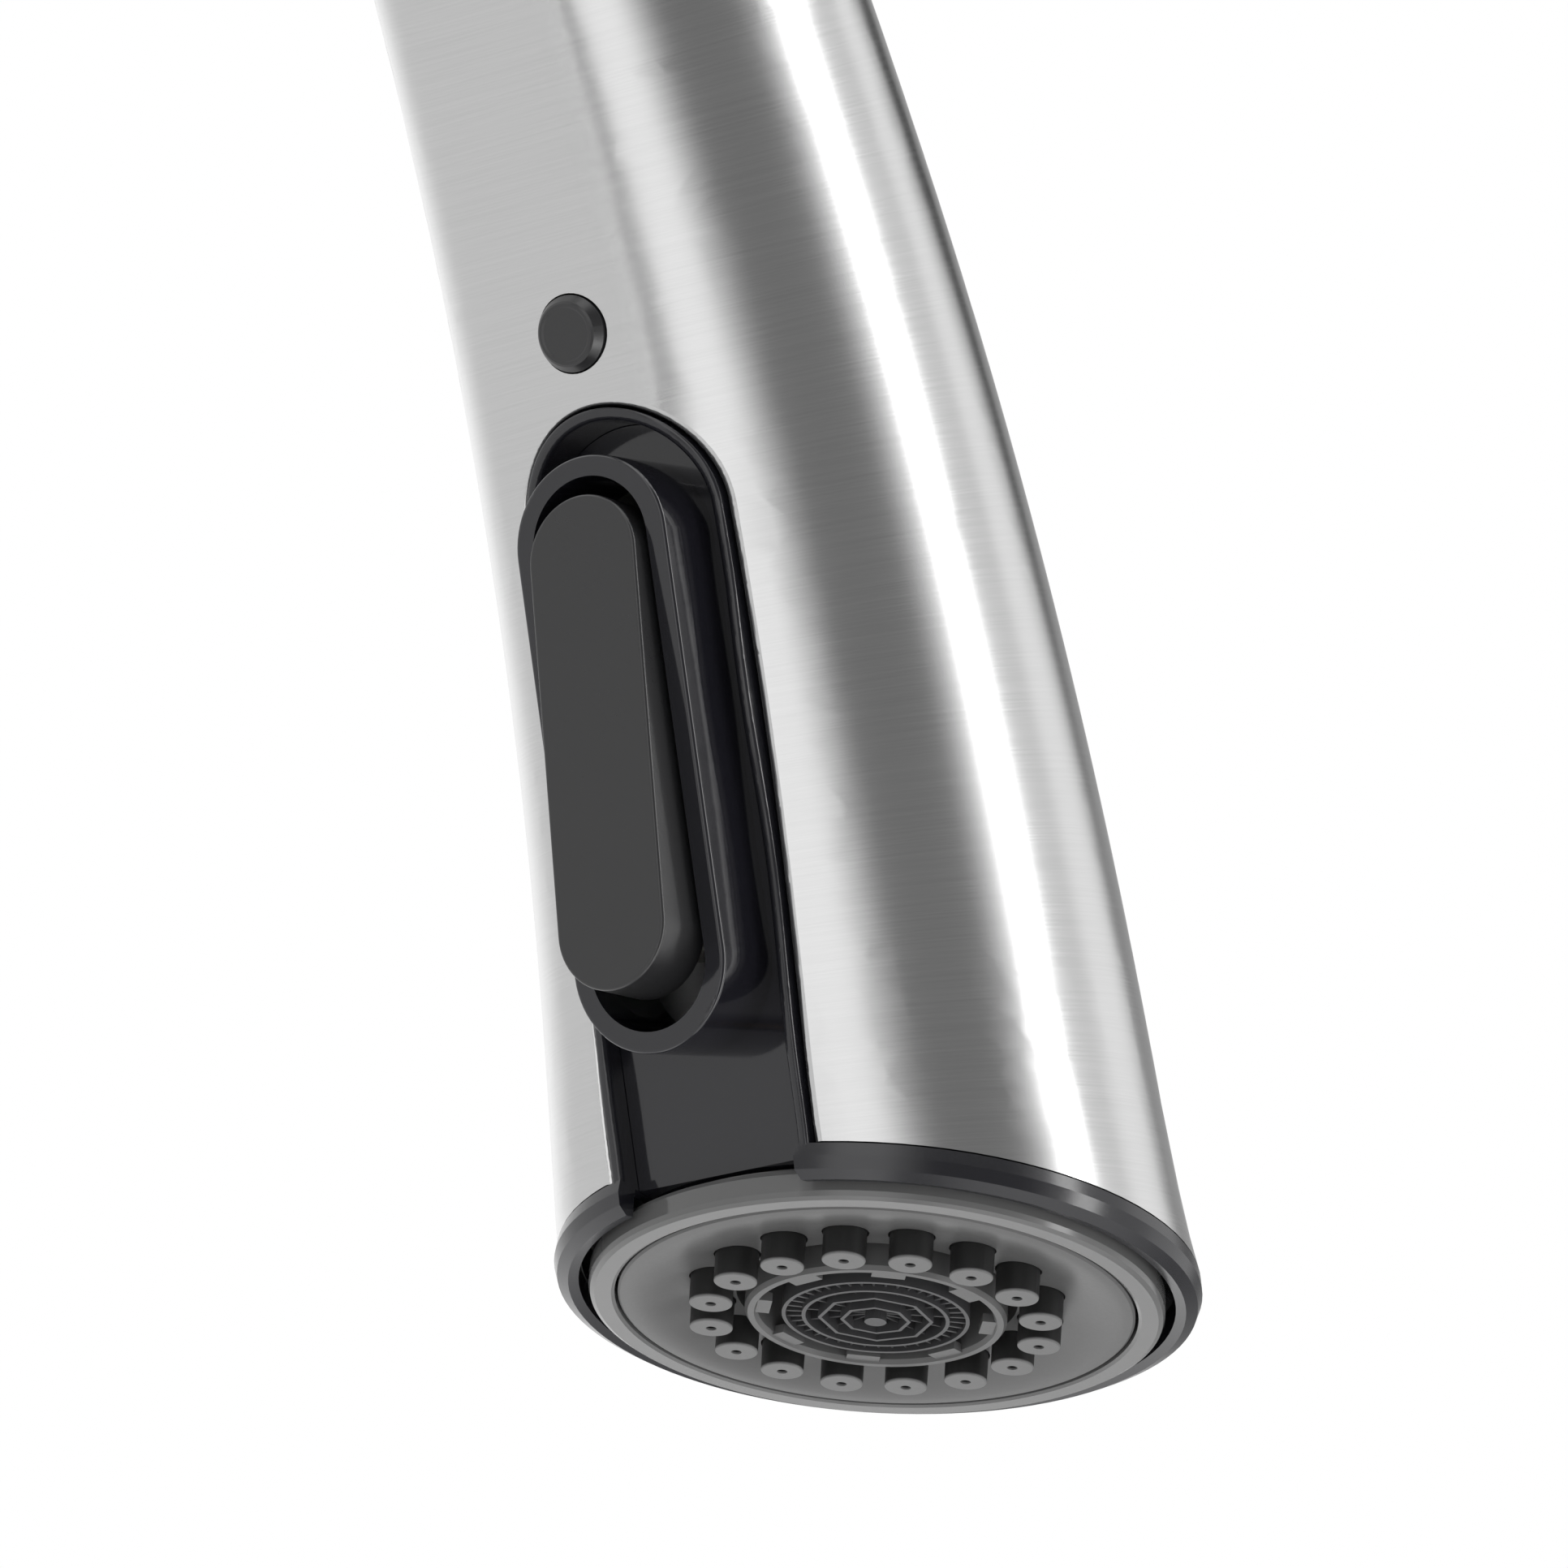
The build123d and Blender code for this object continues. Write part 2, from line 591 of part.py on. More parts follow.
def lever_axis():
    """Frame of the lever: on the hub's top, +Z along the lever, leaning away from the body."""
    return Pos(PIVOT_X + 16.5, 0, VALVE_Z) * Rot(0, LEVER_LEAN, 0)


def handle_hub():
    outline = [(0, 62.0), (9.0, 61.4), (15.5, 58.4), (19.2, 52.8), (HUB_R, 46.0), (HUB_R - 0.2, 41.2)]
    profile = Spline(*outline) + Polyline(outline[-1], (0, 41.2), outline[0])
    hub = revolve(Plane.XZ * make_face(profile), Axis.Z) - Pos(0, 0, PIVOT_X) * Sphere(HUB_CAVITY_R)
    hub -= Pos(0, 0, 40) * Box(6.5, 6.1, 18.1, align=LOW)
    hub = on_valve(hub) - lever_axis() * rod(4.05, 16, 40)
    return hub - Pos(55.5, 0, VALVE_Z - 30) * rod(2.05, 0, 30)


def handle_lever():
    lever = turned([
        (0, 16.8), (4.0, 16.8), (4.0, 20.9), (5.4, 21.4), (5.2, 40), (4.3, LEVER_LENGTH - 2),
        (3.6, LEVER_LENGTH + 1.0), (2.4, LEVER_LENGTH + 2.0), (0, LEVER_LENGTH + 2.3),
    ])
    return lever_axis() * lever - on_valve(Pos(0, 0, PIVOT_X) * Sphere(HUB_CAVITY_R))


def set_screw():
    screw = Pos(55.5, 0, VALVE_Z) * rod(1.95, -14.0, -3.3)
    return screw - Pos(55.5, 0, VALVE_Z) * extrude(Pos(0, 0, -14) * RegularPolygon(1.1, 6), amount=2.4)


def index_plug():
    return Pos(55.5, 0, VALVE_Z) * rod(1.98, -17.6, -14.2)


# ---- deck fixing ----------------------------------------------------------------------------------
def base_ring():
    return turned([
        (17.2, 0.9), (27.4, 0.9), (28.0, 1.6), (28.0, 3.4), (27.0, 4.8), (26.2, 6.0), (17.2, 6.0),
    ])


def shank():
    return (rod(17.0, 0, 12) + rod(SHANK_R, -DECK_GRIP, 0) + rod(SHANK_R - 0.25, SHANK_BOTTOM, -DECK_GRIP)
            - rod(SHANK_BORE, SHANK_BOTTOM - 1, 13))


def mounting_nut():
    nut = extrude(Pos(0, 0, -46) * RegularPolygon(27, 6), amount=8)
    nut += rod(27.5, -38, -34.1)
    nut -= rod(SHANK_R - 0.2, -50, -30)
    for side in (-1, 1):
        nut -= Pos(0, 22.5 * side, 0) * rod(2.1, -60, -30)
    return nut


def jack_screws():
    screws = []
    for side in (-1, 1):
        screw = rod(2.0, -54, -34.1) + rod(3.4, -57, -54)
        screws.append(Pos(0, 22.5 * side, 0) * (screw - Pos(0, 0, -57) * Box(0.9, 7, 2.4)))
    return Compound(children=screws)


def supply_inlets():
    stub = tube(STUB_R, 2.8, STUB_BOTTOM + 24, 31) + tube(STUB_END_R, 2.8, STUB_BOTTOM, STUB_BOTTOM + 24)
    return Compound(children=[Pos(0, y, 0) * stub for y in (-STUB_OFFSET, STUB_OFFSET)])


def spray_outlet():
    stub = tube(STUB_R, 2.8, STUB_BOTTOM + 20, 31) + tube(STUB_END_R, 2.8, STUB_BOTTOM + 6, STUB_BOTTOM + 20)
    return Pos(-STUB_OFFSET, 0, 0) * stub


HEAD_PARTS = {
    "head_shell": head_shell, "head_trim": head_trim, "button_panel": button_panel,
    "rocker_button": rocker_button, "rocker_pin": rocker_pin, "diverter_spool": diverter_spool,
    "spool_orings": spool_orings, "diverter_barrel": diverter_barrel, "pause_button": pause_button,
    "pause_guide": pause_guide, "pause_spring": pause_spring, "waterway_core": waterway_core,
    "inlet_socket": inlet_socket, "check_valve": check_valve, "filter_washer": filter_washer,
    "neck_bush": neck_bush, "dock_plate": dock_plate, "hose_nut": hose_nut, "hose_nipple": hose_nipple,
    "nipple_orings": nipple_orings, "face_ring": face_ring, "face_plate": face_plate,
    "nozzle_mat": nozzle_mat, "face_seal": face_seal, "aerator_housing": aerator_housing,
    "aerator_insert": aerator_insert,
}

BODY_PARTS = {
    "spout_tube": spout_tube, "pull_hose": pull_hose, "hose_plug": hose_plug, "dock_sleeve": dock_sleeve,
    "dock_magnet": dock_magnet, "spout_collar": spout_collar, "spout_foot": spout_foot,
    "swivel_stop": swivel_stop, "body_shell": body_shell, "valve_body": valve_body,
    "post_orings": post_orings, "cartridge": cartridge, "valve_dome": valve_dome,
    "cartridge_carrier": cartridge_carrier, "lift_pin": lift_pin, "cartridge_stem": cartridge_stem,
    "handle_hub": handle_hub, "handle_lever": handle_lever, "set_screw": set_screw,
    "index_plug": index_plug, "base_ring": base_ring, "shank": shank, "mounting_nut": mounting_nut,
    "jack_screws": jack_screws, "supply_inlets": supply_inlets, "spray_outlet": spray_outlet,
}

PLAIN_RINGS = {
    "lower_glide_ring": (17.0, 11.55, 90.1, 92.0),
    "upper_guide_ring": (18.2, TUBE_R + 0.08, 112.4, 118.6),
    "base_gasket": (27.2, 17.3, 0.0, 0.85),
    "deck_washer": (27.5, SHANK_R + 0.1, -DECK_GRIP - 2.5, -DECK_GRIP),
    "clamp_washer": (28.0, SHANK_R + 0.05, -34.0, -DECK_GRIP - 2.55),
}

VALVE_RINGS = {
    "cartridge_seal": (14.4, 4.0, 13.05, 14.05),
    "cartridge_nut": (14.5, 11.2, 30.05, 35.5),
}


def main():
    os.makedirs("parts", exist_ok=True)
    for name, make in HEAD_PARTS.items():
        export_step(HEAD_PLACE * make(), f"parts/{name}.step")
    for name, make in BODY_PARTS.items():
        export_step(make(), f"parts/{name}.step")
    for name, sizes in PLAIN_RINGS.items():
        export_step(tube(*sizes), f"parts/{name}.step")
    for name, sizes in VALVE_RINGS.items():
        export_step(on_valve(tube(*sizes)), f"parts/{name}.step")
    print("reach", round(REACH, 2), "tips at", round(TIP_Z, 2), "dock tilt", round(DOCK_TILT, 2),
          "seam", round(SEAM_Y - REACH, 2), round(SEAM_Z + TIP_Z, 2), "radius", round(SEAM_R, 2))


main()
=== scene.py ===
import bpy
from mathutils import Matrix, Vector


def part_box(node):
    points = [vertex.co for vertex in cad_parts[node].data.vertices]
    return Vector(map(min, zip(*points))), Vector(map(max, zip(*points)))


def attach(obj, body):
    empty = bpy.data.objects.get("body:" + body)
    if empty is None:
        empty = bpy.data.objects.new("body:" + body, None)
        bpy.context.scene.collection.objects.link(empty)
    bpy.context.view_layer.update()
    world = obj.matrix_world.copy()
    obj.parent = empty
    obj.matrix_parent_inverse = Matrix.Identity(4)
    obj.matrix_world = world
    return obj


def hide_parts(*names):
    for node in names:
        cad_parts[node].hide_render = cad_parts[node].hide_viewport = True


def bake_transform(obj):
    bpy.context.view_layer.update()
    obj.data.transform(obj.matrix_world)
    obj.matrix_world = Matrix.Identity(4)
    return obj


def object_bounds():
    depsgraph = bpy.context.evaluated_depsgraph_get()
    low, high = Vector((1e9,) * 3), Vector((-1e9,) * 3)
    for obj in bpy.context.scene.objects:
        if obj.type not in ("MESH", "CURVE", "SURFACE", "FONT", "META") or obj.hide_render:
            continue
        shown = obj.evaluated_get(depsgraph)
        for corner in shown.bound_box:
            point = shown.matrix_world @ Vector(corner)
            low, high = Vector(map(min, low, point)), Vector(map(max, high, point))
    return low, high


bl_info = {
    "name": "Pull-Down Kitchen Faucet",
    "version": (1, 0, 0),
    "blender": (4, 5, 0),
    "location": "View3D > Sidebar > Faucet",
    "description": "Finishes a faucet's CAD frame with its hose, threads, aerator and surface materials",
    "category": "Object",
}

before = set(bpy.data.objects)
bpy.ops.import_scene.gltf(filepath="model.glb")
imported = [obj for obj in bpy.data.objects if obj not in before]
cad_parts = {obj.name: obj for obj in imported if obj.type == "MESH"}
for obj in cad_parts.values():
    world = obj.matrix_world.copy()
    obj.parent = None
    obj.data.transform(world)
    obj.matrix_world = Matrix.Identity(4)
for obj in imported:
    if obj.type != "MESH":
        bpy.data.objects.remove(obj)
cad_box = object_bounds()

from math import cos, pi, radians, sin

import bpy
from bpy.props import FloatProperty, IntProperty, PointerProperty
from mathutils import Matrix, Vector

MM = 0.001

# The spray head: middle of its nozzle tips, the bend of its centre line, which starts at the rim, and the
# seam and axis on which it docks in the spout.
TIP = Vector((0.0, -235.59, 220.24)) * MM
BEND_R = 254.0 * MM
START_TILT = radians(15.31)
RIM_OFFSET = 1.25 * MM
RIM_RISE = 4.8 * MM
BEND_Y = TIP.y + RIM_OFFSET + BEND_R * cos(START_TILT)
BEND_Z = TIP.z + RIM_RISE - BEND_R * sin(START_TILT)
SEAM = Vector((0.0, -155.5, 350.1)) * MM
DOCK_TILT = radians(48.47)
DOCK_AXIS = Vector((0.0, sin(DOCK_TILT), cos(DOCK_TILT)))

# The gooseneck's arch and the lever's lean.
ARCH_R = 80.0 * MM
ARCH_Z = 310.1 * MM
DOCK_STRAIGHT = 30.0 * MM
LEVER_LEAN = radians(8.0)


# ---- shader building ----------------------------------------------------------------------------
class Term:
    """A shader socket that can be added, subtracted and multiplied like a number."""

    def __init__(self, tree, socket):
        self.tree = tree
        self.socket = socket

    def math(self, operation, *values):
        node = self.tree.nodes.new("ShaderNodeMath")
        node.operation = operation
        for entry, value in zip(node.inputs, values):
            if isinstance(value, Term):
                self.tree.links.new(value.socket, entry)
            else:
                entry.default_value = value
        return Term(self.tree, node.outputs[0])

    def __add__(self, other):
        return self.math("ADD", self, other)

    def __sub__(self, other):
        return self.math("SUBTRACT", self, other)

    def __rsub__(self, other):
        return self.math("SUBTRACT", other, self)

    def __mul__(self, other):
        return self.math("MULTIPLY", self, other)

    __radd__ = __add__

    def sine(self):
        return self.math("SINE", self)

    def above(self, other):
        return self.math("MAXIMUM", self, other)

    def below(self, other):
        return self.math("MINIMUM", self, other)

    def angle_from(self, other):
        return self.math("ARCTAN2", self, other)

    def root(self):
        return self.math("SQRT", self)


class Shader:
    """A node tree being built, for a material or for the world."""

    def __init__(self, owner):
        owner.use_nodes = True
        self.tree = owner.node_tree
        self.tree.nodes.clear()

    def node(self, kind, settings=None, output=0, **inputs):
        """Adds a node, makes its settings, then fills its sockets with values or links."""
        node = self.tree.nodes.new("ShaderNode" + kind)
        for key, value in (settings or {}).items():
            setattr(node, key, value)
        for key, value in inputs.items():
            name = int(key[2:]) if key[2:].isdigit() else key.replace("_", " ")
            if isinstance(value, Term):
                self.tree.links.new(value.socket, node.inputs[name])
            else:
                node.inputs[name].default_value = value
        return Term(self.tree, node.outputs[output])

    def place(self):
        return self.node("TexCoord", output="Object")

    def split(self, vector):
        owner = self.node("SeparateXYZ", Vector=vector).socket.node
        return [Term(self.tree, socket) for socket in owner.outputs]

    def joined(self, x, y, z):
        return self.node("CombineXYZ", X=x, Y=y, Z=z)

    def noise(self, vector, scale, detail=2.0, roughness=0.5):
        return self.node("TexNoise", Vector=vector, Scale=scale, Detail=detail, Roughness=roughness)

    def mixed(self, factor, first, second):
        return self.node("Mix", {"data_type": "RGBA"}, output=2, in0=factor, in6=first, in7=second)

    def ramp(self, value, low, high, new_low=0.0, new_high=1.0):
        """Smooth step from one value to another."""
        return self.node("MapRange", {"interpolation_type": "SMOOTHSTEP"}, Value=value, in1=low, in2=high,
                         in3=new_low, in4=new_high)

    def bump(self, height, depth, strength=1.0):
        return self.node("Bump", Height=height, Distance=depth, Strength=strength)

    def surface(self, **inputs):
        shader = self.node("BsdfPrincipled", **inputs)
        out = self.tree.nodes.new("ShaderNodeOutputMaterial")
        self.tree.links.new(shader.socket, out.inputs["Surface"])


def tint(colour, gain=1.0):
    """An opaque colour from a grey level or three channels."""
    channels = (colour,) * 3 if isinstance(colour, float) else colour
    return (*(channel * gain for channel in channels), 1.0)


def new_material(name):
    material = bpy.data.materials.new(name)
    return material, Shader(material)


# ---- which way the brushing or turning marks run ------------------------------------------------
def along_z(s):
    x, y, z = s.split(s.place())
    return z, x, y


def along_x(s):
    x, y, z = s.split(s.place())
    return x, y, z


def along_head(s):
    """Round the curved spray head: the first term runs along its bent centre line."""
    x, y, z = s.split(s.place())
    inwards, up = BEND_Y - y, z - BEND_Z
    reach = (inwards * inwards + up * up).root()
    return up.angle_from(inwards) * BEND_R, x, reach


def along_spout(s):
    """Round the gooseneck: straight up the riser, then round the arch."""
    x, y, z = s.split(s.place())
    inwards, up = y + ARCH_R, (z - ARCH_Z).above(0.0)
    reach = (inwards * inwards + up * up).root()
    return up.angle_from(inwards) * ARCH_R + (z - ARCH_Z).below(0.0), x, reach


def along_lever(s):
    turned = s.node("VectorRotate", {"rotation_type": "Y_AXIS"}, Vector=s.place(), Angle=-LEVER_LEAN)
    x, y, z = s.split(turned)
    return z, x, y


# ---- finishes -----------------------------------------------------------------------------------
BRASS = (0.78, 0.58, 0.28)
BRAID_PITCH = 4.2 * MM
BRAID_STRANDS = 12.0


def steel(name, direction, tone=0.87, rough=0.2):
    """Stainless steel with fine brushing round the piece."""
    material, s = new_material(name)
    along, first, second = direction(s)
    hairs = s.noise(s.joined(along * 9000.0, first * 90.0, second * 90.0), 1.0, 3.0, 0.65)
    strokes = s.noise(s.joined(along * 3000.0, first * 50.0, second * 50.0), 1.0, 2.0, 0.5)
    cloud = s.noise(s.place(), 45.0, 2.0, 0.5)
    shade = s.mixed(s.ramp(hairs * 0.7 + strokes * 0.3, 0.3, 0.7), tint(tone * 0.965), tint(tone * 1.02))
    roughness = rough + (hairs - 0.5) * 0.07 + (cloud - 0.5) * 0.05
    s.surface(Base_Color=shade, Roughness=roughness, Metallic=1.0, Normal=s.bump(hairs, 0.0000009))
    return material


def moulded(name, colour, rough=0.32, grain=0.000004, gloss=0.5):
    """Moulded plastic: slight clouding and a fine spark-eroded grain."""
    material, s = new_material(name)
    place = s.place()
    fine = s.noise(place, 3200.0, 2.0, 0.6)
    cloud = s.noise(place, 70.0, 3.0, 0.55)
    shade = s.mixed(cloud, tint(colour, 0.86), tint(colour, 1.12))
    roughness = rough + (fine - 0.5) * 0.10 + (cloud - 0.5) * 0.06
    s.surface(Base_Color=shade, Roughness=roughness, Normal=s.bump(fine, grain), Specular_IOR_Level=gloss)
    return material


def metal(name, colour, direction, rough=0.25, marks=2500.0):
    """Turned or drawn metal with tool marks round the piece."""
    material, s = new_material(name)
    along, first, second = direction(s)
    cuts = s.noise(s.joined(along * marks, first * 20.0, second * 20.0), 1.0, 2.0, 0.6)
    stain = s.noise(s.place(), 120.0, 4.0, 0.6)
    shade = s.mixed(s.ramp(stain, 0.3, 0.75), tint(colour, 1.05), tint(colour, 0.82))
    roughness = rough + (cuts - 0.5) * 0.12 + (stain - 0.5) * 0.12
    s.surface(Base_Color=shade, Roughness=roughness, Metallic=1.0, Normal=s.bump(cuts, 0.000006))
    return material


def nozzle_rubber(name):
    """Black silicone with its tips painted paler than its near-black sides: painted light from below on the
    downward-facing tips.
    """
    material, s = new_material(name)
    z = s.split(s.place())[2]
    fine = s.noise(s.place(), 2600.0, 2.0, 0.6)
    # painted light: a paler grey on the downward-facing tips stands in for the light from below that they
    # catch; the sides keep the near-black rubber colour.
    painted_light_tip = s.ramp(z, TIP.z + 0.25 * MM, TIP.z + 0.1 * MM)
    shade = s.mixed(painted_light_tip, tint(0.016), s.mixed(fine, tint(0.15), tint(0.2)))
    s.surface(Base_Color=shade, Roughness=0.46 + (fine - 0.5) * 0.14, Normal=s.bump(fine, 0.000005))
    return material


def braid(name):
    """Woven nylon sleeve: two families of strands that cross on the hose."""
    material, s = new_material(name)
    x, y, z = s.split(s.place())
    along = y * DOCK_AXIS.y + z * DOCK_AXIS.z
    side = (y - SEAM.y) * DOCK_AXIS.z - (z - SEAM.z) * DOCK_AXIS.y
    turn = x.angle_from(side)
    climb = along * (2 * pi / BRAID_PITCH)
    left = (climb + turn * BRAID_STRANDS).sine()
    right = (climb - turn * BRAID_STRANDS).sine()
    weave = left.above(right)
    fibre = s.noise(s.place(), 6000.0, 2.0, 0.6)
    shade = s.mixed(s.ramp(weave, -0.2, 0.9), tint(0.02), s.mixed(fibre, tint(0.10), tint(0.16)))
    relief = s.bump(weave + fibre * 0.2, 0.35 * MM)
    s.surface(Base_Color=shade, Roughness=0.55 + (fibre - 0.5) * 0.2, Normal=relief)
    return material


# ---- modelling ----------------------------------------------------------------------------------
def select_only(piece):
    bpy.ops.object.select_all(action="DESELECT")
    piece.select_set(True)
    bpy.context.view_layer.objects.active = piece


def settle(piece, turn, centre):
    """Turns and moves a piece into the faucet's frame, in its mesh."""
    select_only(piece)
    piece.matrix_world = Matrix.Translation(centre) @ turn.to_4x4() @ piece.matrix_world
    bpy.ops.object.transform_apply(location=True, rotation=True, scale=True)


def turned_ring(name, outline, sides):
    """A circle extruded and scaled round a closed (radius, height) outline in millimetres."""
    first_r, first_z = outline[0]
    bpy.ops.object.select_all(action="DESELECT")
    bpy.ops.mesh.primitive_circle_add(vertices=sides, radius=first_r * MM, location=(0, 0, first_z * MM))
    piece = bpy.context.object
    piece.name = name
    bpy.ops.object.transform_apply(location=True, rotation=True, scale=True)
    bpy.ops.object.mode_set(mode="EDIT")
    bpy.ops.mesh.select_all(action="SELECT")
    for (r0, z0), (r1, z1) in zip(outline, outline[1:]):
        bpy.ops.mesh.extrude_edges_move(TRANSFORM_OT_translate={"value": (0, 0, (z1 - z0) * MM)})
        bpy.ops.transform.resize(value=(r1 / r0, r1 / r0, 1.0), center_override=(0, 0, z1 * MM))
    bpy.ops.mesh.select_all(action="DESELECT")
    bpy.ops.mesh.select_non_manifold()
    bpy.ops.mesh.bridge_edge_loops()
    bpy.ops.mesh.select_all(action="SELECT")
    bpy.ops.mesh.normals_make_consistent(inside=False)
    bpy.ops.object.mode_set(mode="OBJECT")
    return piece


def smooth(piece, angle=35.0):
    select_only(piece)
    bpy.ops.object.shade_smooth_by_angle(angle=radians(angle))


def joined(pieces, name):
    bpy.ops.object.select_all(action="DESELECT")
    for piece in pieces:
        piece.select_set(True)
    bpy.context.view_layer.objects.active = pieces[0]
    bpy.ops.object.join()
    bpy.context.object.name = name
    return bpy.context.object


def finish_piece(piece, material, body, slot, *nodes):
    """Gives a new piece its material, parents it to the body it moves with and hides the CAD parts it stands
    for.
    """
    piece.data.materials.clear()
    piece.data.materials.append(material)
    if body:
        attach(piece, body)
    if nodes:
        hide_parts(*nodes)


# ---- studio -------------------------------------------------------------------------------------
FILL_LIGHT = 0.58
DARKEST = 0.02
WHITE_WALL = 1.0
CEILING_EDGE = (0.60, 0.85)
# heading, half width and soft edge in degrees, and what each adds to the fill light
SOFT_BOXES = [
    (-58, 8, 45, 0.42),
    (-78, 5, 19, -0.70),
    (-117, 7, 12, 0.24),
    (-162.5, 1.5, 6, 3.0),
    (-162, 4, 7, 0.35),
    (158, 14, 15, -0.43),
    (115, 6, 10, 0.34),
    (96, 2, 7, -0.24),
]
# heading, height, half width and soft edge in degrees, and what it takes from the fill light
HIGH_FLAG = (-98, 44, 3, 15, -0.42)

LENS = 187.63
CAMERA_PLACE = Vector((-333.39, 250.03, -15.22)) * MM
CAMERA_TURN = (radians(115.5837), radians(-3.5198), radians(-146.25))
FLOOR_SIZE = 8.0
FLOOR_GAP = 0.003


def pointing(heading, height):
    """Unit vector for a heading and a height, both in degrees."""
    flat = cos(radians(height))
    return Vector((flat * cos(radians(heading)), flat * sin(radians(heading)), sin(radians(height))))


def soft_box(s, direction, towards, half, soft, strength):
    """What one light adds where a direction comes near to its own."""
    near = s.node("VectorMath", {"operation": "DOT_PRODUCT"}, output="Value", in0=direction, in1=towards)
    return s.ramp(near, cos(radians(half + soft)), cos(radians(half)), 0.0, strength)


class FAUCET_OT_stage(bpy.types.Operator):
    """Sets up the camera, the pale floor and the soft studio light"""
    bl_idname = "faucet.stage"
    bl_label = "Stage"

    def execute(self, context):
        settings = context.scene.faucet_stage
        world = bpy.data.worlds.new("studio")
        context.scene.world = world
        s = Shader(world)
        direction = s.node("TexCoord", output="Generated")
        x, y, z = s.split(direction)
        flat = s.node("VectorMath", {"operation": "NORMALIZE"}, in0=s.joined(x, y, 0.0))
        level = FILL_LIGHT
        for heading, half, soft, strength in SOFT_BOXES:
            level = level + soft_box(s, flat, pointing(heading, 0), half, soft, strength)
        heading, height, half, soft, strength = HIGH_FLAG
        level = level + soft_box(s, direction, pointing(heading, height), half, soft, strength)
        level = level.above(DARKEST)
        ceiling = s.ramp(z, *CEILING_EDGE)
        level = level * (1.0 - ceiling) + ceiling * settings.ceiling
        seen = s.node("LightPath", output="Is Camera Ray")
        level = level * (1.0 - seen) + seen * WHITE_WALL
        glow = s.node("Background", Color=s.joined(level, level, level))
        out = s.tree.nodes.new("ShaderNodeOutputWorld")
        s.tree.links.new(glow.socket, out.inputs["Surface"])

        lens = bpy.data.cameras.new("camera")
        lens.lens = LENS
        lens.sensor_width = 36.0
        lens.clip_start = 0.01
        lens.clip_end = 20.0
        camera = bpy.data.objects.new("camera", lens)
        camera.location = CAMERA_PLACE
        camera.rotation_euler = CAMERA_TURN
        context.scene.collection.objects.link(camera)
        context.scene.camera = camera
        context.scene.view_settings.view_transform = "Standard"

        bpy.ops.mesh.primitive_plane_add(size=FLOOR_SIZE, location=(0, -0.1, cad_box[0].z - FLOOR_GAP))
        floor = context.object
        floor.name = "floor"
        floor.visible_glossy = False
        floor.visible_shadow = False
        material, s = new_material("floor_paint")
        cloud = s.noise(s.place(), 30.0, 3.0, 0.5)
        s.surface(Base_Color=s.mixed(cloud, tint(0.86), tint(0.9)), Roughness=0.7)
        floor.data.materials.append(material)
        return {"FINISHED"}


class StageSettings(bpy.types.PropertyGroup):
    ceiling: FloatProperty(
        name="Ceiling", description="Brightness of the light overhead", default=1.3, min=0.0)


# ---- finishes on the CAD parts ------------------------------------------------------------------
class FAUCET_OT_finishes(bpy.types.Operator):
    """Gives every CAD part its surface material"""
    bl_idname = "faucet.finishes"
    bl_label = "Finishes"

    def execute(self, context):
        jet = (0.010, 0.010, 0.013)
        soft = (0.013, 0.013, 0.014)
        looks = {
            steel("steel_head", along_head): ["head_shell"],
            steel("steel_spout", along_spout): ["spout_tube"],
            steel("steel_upright", along_z): ["body_shell", "base_ring", "spout_collar"],
            steel("steel_valve", along_x): ["valve_dome", "handle_hub"],
            steel("steel_lever", along_lever): ["handle_lever"],
            moulded("trim_black", jet, 0.16, 0.000001, 1.0): ["head_trim"],
            moulded("panel_black", (0.009, 0.009, 0.012), 0.08, 0.0000004, 1.0): ["button_panel"],
            moulded("button_black", soft, 0.30, 0.000003, 1.0): ["rocker_button", "pause_button"],
            moulded("dock_black", soft, 0.3, 0.000004, 0.8): ["dock_sleeve", "neck_bush", "hose_nut"],
            moulded("insert_black", (0.05, 0.05, 0.052), 0.35): ["aerator_insert"],
            moulded("face_grey", 0.115, 0.36, 0.000003): ["face_plate", "aerator_housing"],
            moulded("ring_grey", 0.14, 0.14, 0.000001, 0.8): ["face_ring"],
            moulded("rubber_black", (0.02, 0.02, 0.021), 0.6, 0.000012): [
                "post_orings", "cartridge_seal", "base_gasket", "deck_washer", "nipple_orings",
                "filter_washer", "face_seal", "spool_orings", "index_plug"],
            moulded("inner_plastic", (0.60, 0.60, 0.57), 0.42, 0.000008): [
                "cartridge", "upper_guide_ring", "lower_glide_ring", "diverter_barrel", "pause_guide",
                "waterway_core", "inlet_socket", "check_valve", "diverter_spool", "cartridge_carrier"],
            metal("brass", BRASS, along_z): [
                "valve_body", "shank", "mounting_nut", "spray_outlet", "spout_foot", "hose_plug",
                "cartridge_nut"],
            metal("brass_side", BRASS, along_x): ["cartridge_stem", "hose_nipple"],
            metal("drawn_steel", (0.62, 0.62, 0.63), along_x, 0.2): [
                "rocker_pin", "lift_pin", "swivel_stop", "pause_spring", "dock_plate", "set_screw"],
            metal("zinc", (0.60, 0.61, 0.62), along_z, 0.35): [
                "clamp_washer", "jack_screws", "supply_inlets"],
            metal("nickel", (0.45, 0.45, 0.46), along_z, 0.3): ["dock_magnet"],
            nozzle_rubber("nozzle_rubber"): ["nozzle_mat"],
        }
        for material, names in looks.items():
            for name in names:
                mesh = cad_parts[name].data
                mesh.materials.clear()
                mesh.materials.append(material)
        return {"FINISHED"}


# ---- new pieces ---------------------------------------------------------------------------------
# How far the hose's short piece reaches past the seam, in millimetres, and the steps each stretch is made in.
PAST_SEAM = 8.8
RISER_STEPS = 24
ARCH_STEPS = 36
REACH_STEPS = 16


